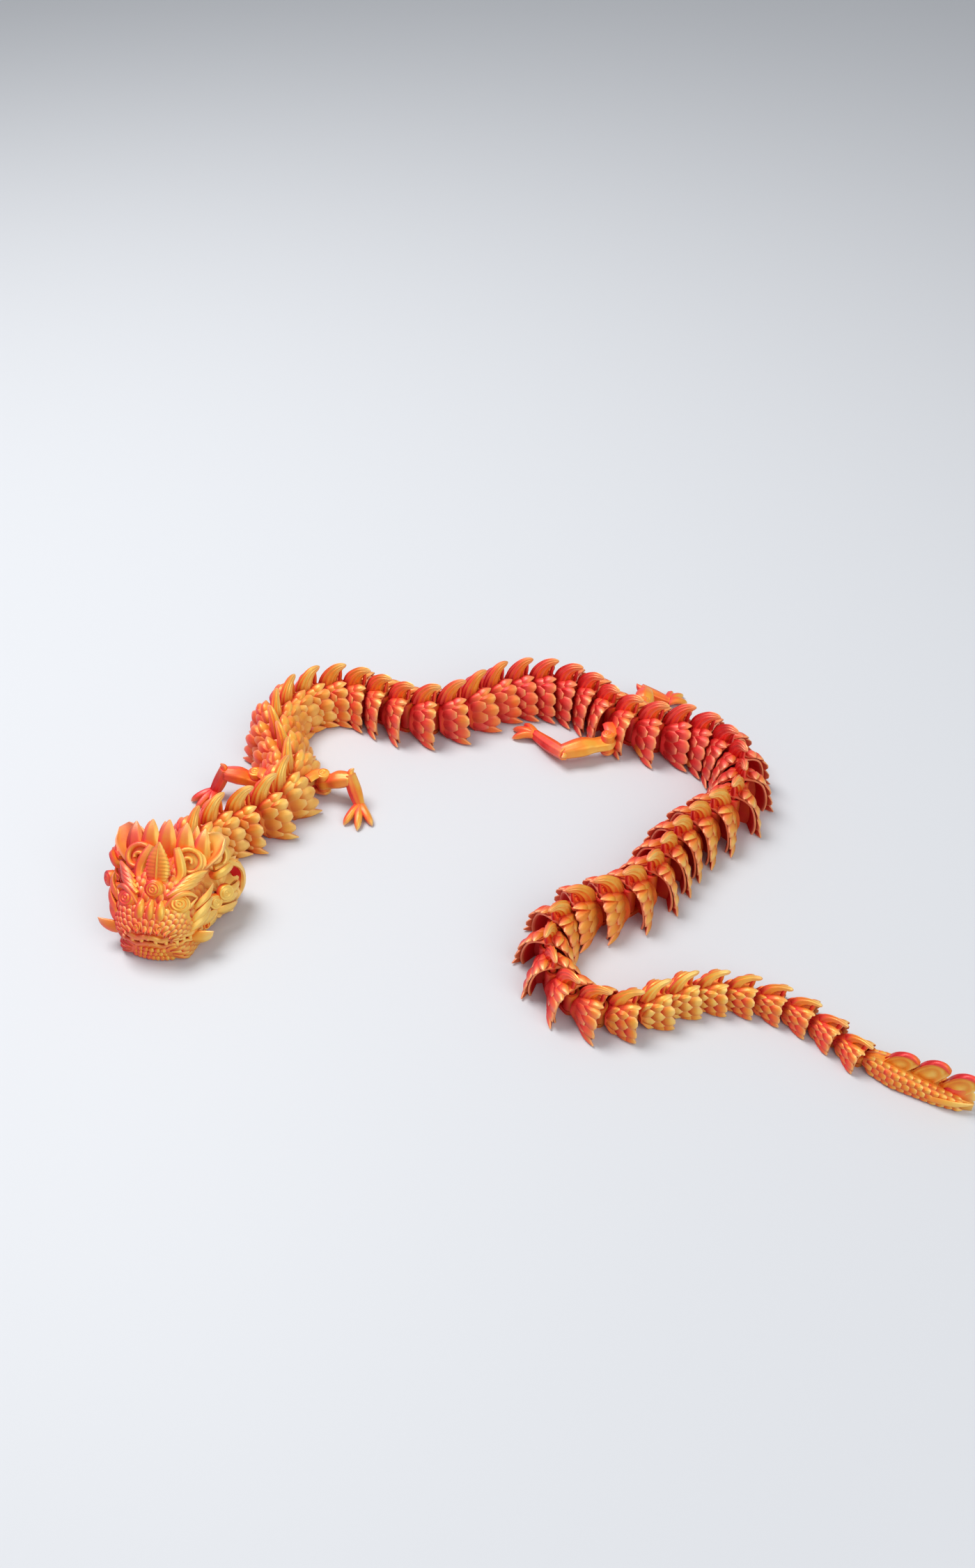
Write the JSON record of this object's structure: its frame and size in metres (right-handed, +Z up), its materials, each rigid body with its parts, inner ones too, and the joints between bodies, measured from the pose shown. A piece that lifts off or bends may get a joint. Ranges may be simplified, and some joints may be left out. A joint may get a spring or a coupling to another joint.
{
  "type": "articulated toy dragon",
  "caption": "Print-in-place articulated toy dragon: finned, scaled, hollow segments hinged head to tail in a free curve, with four hinged legs, in two-tone red and gold silk plastic",
  "frame": {"origin": "on the surface the toy lies on, under the middle of its overall box at rest", "axes": "+Z up, +X to the right along the longest side of the curled rest pose, +Y away from the head towards the upper run of the body"},
  "size_m": [0.3336, 0.244, 0.0412],
  "materials": {
    "gold_silk": "two-tone silk PLA, gold side showing, soft metallic sheen over fine print layers",
    "orange_silk": "two-tone silk PLA, red and gold mixing to orange, soft metallic sheen over fine print layers",
    "coral_silk": "two-tone silk PLA, red side showing, soft metallic sheen over fine print layers"
  },
  "bodies": {
    "head": {"head": "gold_silk"},
    "segment_01": {"segment_01": "gold_silk"},
    "segment_02": {"segment_02": "gold_silk"},
    "segment_03": {"segment_03": "gold_silk"},
    "segment_04": {"segment_04": "gold_silk"},
    "segment_05": {"segment_05": "gold_silk"},
    "shoulder_segment": {"shoulder_segment": "gold_silk"},
    "segment_07": {"segment_07": "orange_silk"},
    "segment_08": {"segment_08": "orange_silk"},
    "segment_09": {"segment_09": "orange_silk"},
    "segment_10": {"segment_10": "orange_silk"},
    "segment_11": {"segment_11": "orange_silk"},
    "segment_12": {"segment_12": "orange_silk"},
    "segment_13": {"segment_13": "orange_silk"},
    "segment_14": {"segment_14": "orange_silk"},
    "segment_15": {"segment_15": "orange_silk"},
    "segment_16": {"segment_16": "orange_silk"},
    "segment_17": {"segment_17": "orange_silk"},
    "segment_18": {"segment_18": "coral_silk"},
    "segment_19": {"segment_19": "coral_silk"},
    "segment_20": {"segment_20": "coral_silk"},
    "segment_21": {"segment_21": "coral_silk"},
    "segment_22": {"segment_22": "coral_silk"},
    "segment_23": {"segment_23": "coral_silk"},
    "segment_24": {"segment_24": "coral_silk"},
    "hip_segment": {"hip_segment": "orange_silk"},
    "segment_26": {"segment_26": "coral_silk"},
    "segment_27": {"segment_27": "coral_silk"},
    "segment_28": {"segment_28": "coral_silk"},
    "segment_29": {"segment_29": "coral_silk"},
    "segment_30": {"segment_30": "coral_silk"},
    "segment_31": {"segment_31": "coral_silk"},
    "segment_32": {"segment_32": "coral_silk"},
    "segment_33": {"segment_33": "orange_silk"},
    "segment_34": {"segment_34": "orange_silk"},
    "segment_35": {"segment_35": "orange_silk"},
    "segment_36": {"segment_36": "orange_silk"},
    "segment_37": {"segment_37": "orange_silk"},
    "segment_38": {"segment_38": "orange_silk"},
    "segment_39": {"segment_39": "orange_silk"},
    "segment_40": {"segment_40": "orange_silk"},
    "segment_41": {"segment_41": "orange_silk"},
    "segment_42": {"segment_42": "orange_silk"},
    "segment_43": {"segment_43": "orange_silk"},
    "segment_44": {"segment_44": "gold_silk"},
    "segment_45": {"segment_45": "gold_silk"},
    "segment_46": {"segment_46": "gold_silk"},
    "segment_47": {"segment_47": "gold_silk"},
    "segment_48": {"segment_48": "gold_silk"},
    "segment_49": {"segment_49": "gold_silk"},
    "segment_50": {"segment_50": "gold_silk"},
    "segment_51": {"segment_51": "gold_silk"},
    "segment_52": {"segment_52": "gold_silk"},
    "segment_53": {"segment_53": "gold_silk"},
    "segment_54": {"segment_54": "gold_silk"},
    "tail_tip": {"tail_tip": "gold_silk"},
    "front_left_leg": {"front_left_leg": "coral_silk"},
    "front_right_leg": {"front_right_leg": "orange_silk"},
    "hind_left_leg": {"hind_left_leg": "orange_silk"},
    "hind_right_leg": {"hind_right_leg": "gold_silk"}
  },
  "joints": [
    {"name": "front_left_shoulder", "type": "hinge", "parent": "shoulder_segment", "child": "front_left_leg", "pos_m": [-0.11438, 0.04705, 0.0076], "axis": [0, 0, 1], "range_deg": [-20, 20]},
    {"name": "front_right_shoulder", "type": "hinge", "parent": "shoulder_segment", "child": "front_right_leg", "pos_m": [-0.084, 0.04599, 0.0076], "axis": [0, 0, 1], "range_deg": [-20, 20]},
    {"name": "hind_left_hip", "type": "hinge", "parent": "hip_segment", "child": "hind_left_leg", "pos_m": [0.0633, 0.09681, 0.0076], "axis": [0, 0, 1], "range_deg": [-20, 20]},
    {"name": "hind_right_hip", "type": "hinge", "parent": "hip_segment", "child": "hind_right_leg", "pos_m": [0.04501, 0.07253, 0.0076], "axis": [0, 0, 1], "range_deg": [-6, 20]},
    {"name": "hinge_00", "type": "hinge", "parent": "segment_01", "child": "head", "pos_m": [-0.13719, -0.00489, 0.009], "axis": [0, 0, -1], "range_deg": [-17, 37]},
    {"name": "hinge_01", "type": "hinge", "parent": "segment_02", "child": "segment_01", "pos_m": [-0.13328, 0.00646, 0.009], "axis": [0, 0, -1], "range_deg": [-4, 50]},
    {"name": "hinge_02", "type": "hinge", "parent": "segment_03", "child": "segment_02", "pos_m": [-0.12525, 0.01538, 0.009], "axis": [0, 0, -1], "range_deg": [-4, 50]},
    {"name": "hinge_03", "type": "hinge", "parent": "segment_04", "child": "segment_03", "pos_m": [-0.11438, 0.02045, 0.009], "axis": [0, 0, 1], "range_deg": [-14, 40]},
    {"name": "hinge_04", "type": "hinge", "parent": "segment_05", "child": "segment_04", "pos_m": [-0.10492, 0.02783, 0.009], "axis": [0, 0, 1], "range_deg": [-2, 52]},
    {"name": "hinge_05", "type": "hinge", "parent": "shoulder_segment", "child": "segment_05", "pos_m": [-0.09947, 0.03853, 0.009], "axis": [0, 0, 1], "range_deg": [-2, 52]},
    {"name": "hinge_06", "type": "hinge", "parent": "segment_07", "child": "shoulder_segment", "pos_m": [-0.09905, 0.05052, 0.009], "axis": [0, 0, -1], "range_deg": [-52, 2]},
    {"name": "hinge_07", "type": "hinge", "parent": "segment_08", "child": "segment_07", "pos_m": [-0.10374, 0.06157, 0.009], "axis": [0, 0, -1], "range_deg": [-27, 27]},
    {"name": "hinge_08", "type": "hinge", "parent": "segment_09", "child": "segment_08", "pos_m": [-0.10843, 0.07261, 0.009], "axis": [0, 0, -1], "range_deg": [-2, 52]},
    {"name": "hinge_09", "type": "hinge", "parent": "segment_10", "child": "segment_09", "pos_m": [-0.10801, 0.0846, 0.009], "axis": [0, 0, 1], "range_deg": [-52, 2]},
    {"name": "hinge_10", "type": "hinge", "parent": "segment_11", "child": "segment_10", "pos_m": [-0.10256, 0.0953, 0.009], "axis": [0, 0, 1], "range_deg": [-52, 2]},
    {"name": "hinge_11", "type": "hinge", "parent": "segment_12", "child": "segment_11", "pos_m": [-0.09311, 0.10268, 0.009], "axis": [0, 0, 1], "range_deg": [-52, 2]},
    {"name": "hinge_12", "type": "hinge", "parent": "segment_13", "child": "segment_12", "pos_m": [-0.08142, 0.10538, 0.009], "axis": [0, 0, -1], "range_deg": [-2, 52]},
    {"name": "hinge_13", "type": "hinge", "parent": "segment_14", "child": "segment_13", "pos_m": [-0.06968, 0.10289, 0.009], "axis": [0, 0, -1], "range_deg": [-12, 42]},
    {"name": "hinge_14", "type": "hinge", "parent": "segment_15", "child": "segment_14", "pos_m": [-0.05899, 0.09744, 0.009], "axis": [0, 0, -1], "range_deg": [-27, 27]},
    {"name": "hinge_15", "type": "hinge", "parent": "segment_16", "child": "segment_15", "pos_m": [-0.04829, 0.09199, 0.009], "axis": [0, 0, 1], "range_deg": [-7, 44]},
    {"name": "hinge_16", "type": "hinge", "parent": "segment_17", "child": "segment_16", "pos_m": [-0.03638, 0.09053, 0.009], "axis": [0, 0, 1], "range_deg": [-7, 44]},
    {"name": "hinge_17", "type": "hinge", "parent": "segment_18", "child": "segment_17", "pos_m": [-0.02469, 0.09323, 0.009], "axis": [0, 0, 1], "range_deg": [-7, 44]},
    {"name": "hinge_18", "type": "hinge", "parent": "segment_19", "child": "segment_18", "pos_m": [-0.01463, 0.09977, 0.009], "axis": [0, 0, -1], "range_deg": [-27, 27]},
    {"name": "hinge_19", "type": "hinge", "parent": "segment_20", "child": "segment_19", "pos_m": [-0.00456, 0.1063, 0.009], "axis": [0, 0, -1], "range_deg": [-10, 44]},
    {"name": "hinge_20", "type": "hinge", "parent": "segment_21", "child": "segment_20", "pos_m": [0.00697, 0.10961, 0.009], "axis": [0, 0, -1], "range_deg": [-10, 44]},
    {"name": "hinge_21", "type": "hinge", "parent": "segment_22", "child": "segment_21", "pos_m": [0.01897, 0.1094, 0.009], "axis": [0, 0, 1], "range_deg": [-44, 10]},
    {"name": "hinge_22", "type": "hinge", "parent": "segment_23", "child": "segment_22", "pos_m": [0.03038, 0.10569, 0.009], "axis": [0, 0, 1], "range_deg": [-44, 10]},
    {"name": "hinge_23", "type": "hinge", "parent": "segment_24", "child": "segment_23", "pos_m": [0.04021, 0.09881, 0.009], "axis": [0, 0, 1], "range_deg": [-43, 8]},
    {"name": "hinge_24", "type": "hinge", "parent": "hip_segment", "child": "segment_24", "pos_m": [0.04777, 0.08948, 0.009], "axis": [0, 0, -1], "range_deg": [-6, 13]},
    {"name": "hinge_25", "type": "hinge", "parent": "hip_segment", "child": "segment_26", "pos_m": [0.05735, 0.08226, 0.009], "axis": [0, 0, 1], "range_deg": [-41, 13]},
    {"name": "hinge_26", "type": "hinge", "parent": "segment_26", "child": "segment_27", "pos_m": [0.06839, 0.07757, 0.009], "axis": [0, 0, 1], "range_deg": [-41, 13]},
    {"name": "hinge_27", "type": "hinge", "parent": "segment_27", "child": "segment_28", "pos_m": [0.08025, 0.0757, 0.009], "axis": [0, 0, -1], "range_deg": [-46, 8]},
    {"name": "hinge_28", "type": "hinge", "parent": "segment_28", "child": "segment_29", "pos_m": [0.09084, 0.07006, 0.009], "axis": [0, 0, -1], "range_deg": [-49, 5]},
    {"name": "hinge_29", "type": "hinge", "parent": "segment_29", "child": "segment_30", "pos_m": [0.09856, 0.06087, 0.009], "axis": [0, 0, -1], "range_deg": [-49, 5]},
    {"name": "hinge_30", "type": "hinge", "parent": "segment_30", "child": "segment_31", "pos_m": [0.10226, 0.04946, 0.009], "axis": [0, 0, 1], "range_deg": [-5, 49]},
    {"name": "hinge_31", "type": "hinge", "parent": "segment_31", "child": "segment_32", "pos_m": [0.10143, 0.03749, 0.009], "axis": [0, 0, 1], "range_deg": [-5, 49]},
    {"name": "hinge_32", "type": "hinge", "parent": "segment_32", "child": "segment_33", "pos_m": [0.09617, 0.0267, 0.009], "axis": [0, 0, 1], "range_deg": [-2, 52]},
    {"name": "hinge_33", "type": "hinge", "parent": "segment_33", "child": "segment_34", "pos_m": [0.08684, 0.01915, 0.009], "axis": [0, 0, -1], "range_deg": [-27, 27]},
    {"name": "hinge_34", "type": "hinge", "parent": "segment_34", "child": "segment_35", "pos_m": [0.07752, 0.0116, 0.009], "axis": [0, 0, -1], "range_deg": [-18, 36]},
    {"name": "hinge_35", "type": "hinge", "parent": "segment_35", "child": "segment_36", "pos_m": [0.06949, 0.00268, 0.009], "axis": [0, 0, -1], "range_deg": [-18, 36]},
    {"name": "hinge_36", "type": "hinge", "parent": "segment_36", "child": "segment_37", "pos_m": [0.06295, -0.00739, 0.009], "axis": [0, 0, 1], "range_deg": [-27, 27]},
    {"name": "hinge_37", "type": "hinge", "parent": "segment_37", "child": "segment_38", "pos_m": [0.05641, -0.01745, 0.009], "axis": [0, 0, 1], "range_deg": [-9, 45]},
    {"name": "hinge_38", "type": "hinge", "parent": "segment_38", "child": "segment_39", "pos_m": [0.04709, -0.025, 0.009], "axis": [0, 0, 1], "range_deg": [-9, 45]},
    {"name": "hinge_39", "type": "hinge", "parent": "segment_39", "child": "segment_40", "pos_m": [0.03589, -0.0293, 0.009], "axis": [0, 0, -1], "range_deg": [-27, 27]},
    {"name": "hinge_40", "type": "hinge", "parent": "segment_40", "child": "segment_41", "pos_m": [0.02468, -0.0336, 0.009], "axis": [0, 0, -1], "range_deg": [-1, 53]},
    {"name": "hinge_41", "type": "hinge", "parent": "segment_41", "child": "segment_42", "pos_m": [0.0165, -0.04238, 0.009], "axis": [0, 0, -1], "range_deg": [-1, 53]},
    {"name": "hinge_42", "type": "hinge", "parent": "segment_42", "child": "segment_43", "pos_m": [0.01299, -0.05385, 0.009], "axis": [0, 0, 1], "range_deg": [-53, 1]},
    {"name": "hinge_43", "type": "hinge", "parent": "segment_43", "child": "segment_44", "pos_m": [0.01487, -0.06571, 0.009], "axis": [0, 0, 1], "range_deg": [-53, 1]},
    {"name": "hinge_44", "type": "hinge", "parent": "segment_44", "child": "segment_45", "pos_m": [0.02175, -0.07554, 0.009], "axis": [0, 0, 1], "range_deg": [-53, 1]},
    {"name": "hinge_45", "type": "hinge", "parent": "segment_45", "child": "segment_46", "pos_m": [0.03225, -0.08135, 0.009], "axis": [0, 0, -1], "range_deg": [-1, 53]},
    {"name": "hinge_46", "type": "hinge", "parent": "segment_46", "child": "segment_47", "pos_m": [0.04423, -0.08198, 0.009], "axis": [0, 0, -1], "range_deg": [-1, 53]},
    {"name": "hinge_47", "type": "hinge", "parent": "segment_47", "child": "segment_48", "pos_m": [0.05527, -0.07729, 0.009], "axis": [0, 0, -1], "range_deg": [-27, 27]},
    {"name": "hinge_48", "type": "hinge", "parent": "segment_48", "child": "segment_49", "pos_m": [0.06632, -0.0726, 0.009], "axis": [0, 0, 1], "range_deg": [-12, 42]},
    {"name": "hinge_49", "type": "hinge", "parent": "segment_49", "child": "segment_50", "pos_m": [0.0782, -0.07093, 0.009], "axis": [0, 0, 1], "range_deg": [-12, 42]},
    {"name": "hinge_50", "type": "hinge", "parent": "segment_50", "child": "segment_51", "pos_m": [0.09012, -0.0724, 0.009], "axis": [0, 0, 1], "range_deg": [-15, 39]},
    {"name": "hinge_51", "type": "hinge", "parent": "segment_51", "child": "segment_52", "pos_m": [0.10146, -0.0763, 0.009], "axis": [0, 0, -1], "range_deg": [-39, 15]},
    {"name": "hinge_52", "type": "hinge", "parent": "segment_52", "child": "segment_53", "pos_m": [0.11175, -0.08248, 0.009], "axis": [0, 0, -1], "range_deg": [-39, 15]},
    {"name": "hinge_53", "type": "hinge", "parent": "segment_53", "child": "segment_54", "pos_m": [0.12052, -0.09067, 0.009], "axis": [0, 0, -1], "range_deg": [-33, 21]},
    {"name": "hinge_54", "type": "hinge", "parent": "segment_54", "child": "tail_tip", "pos_m": [0.1284, -0.09972, 0.009], "axis": [0, 0, 1], "range_deg": [-45, 5]}
  ]
}
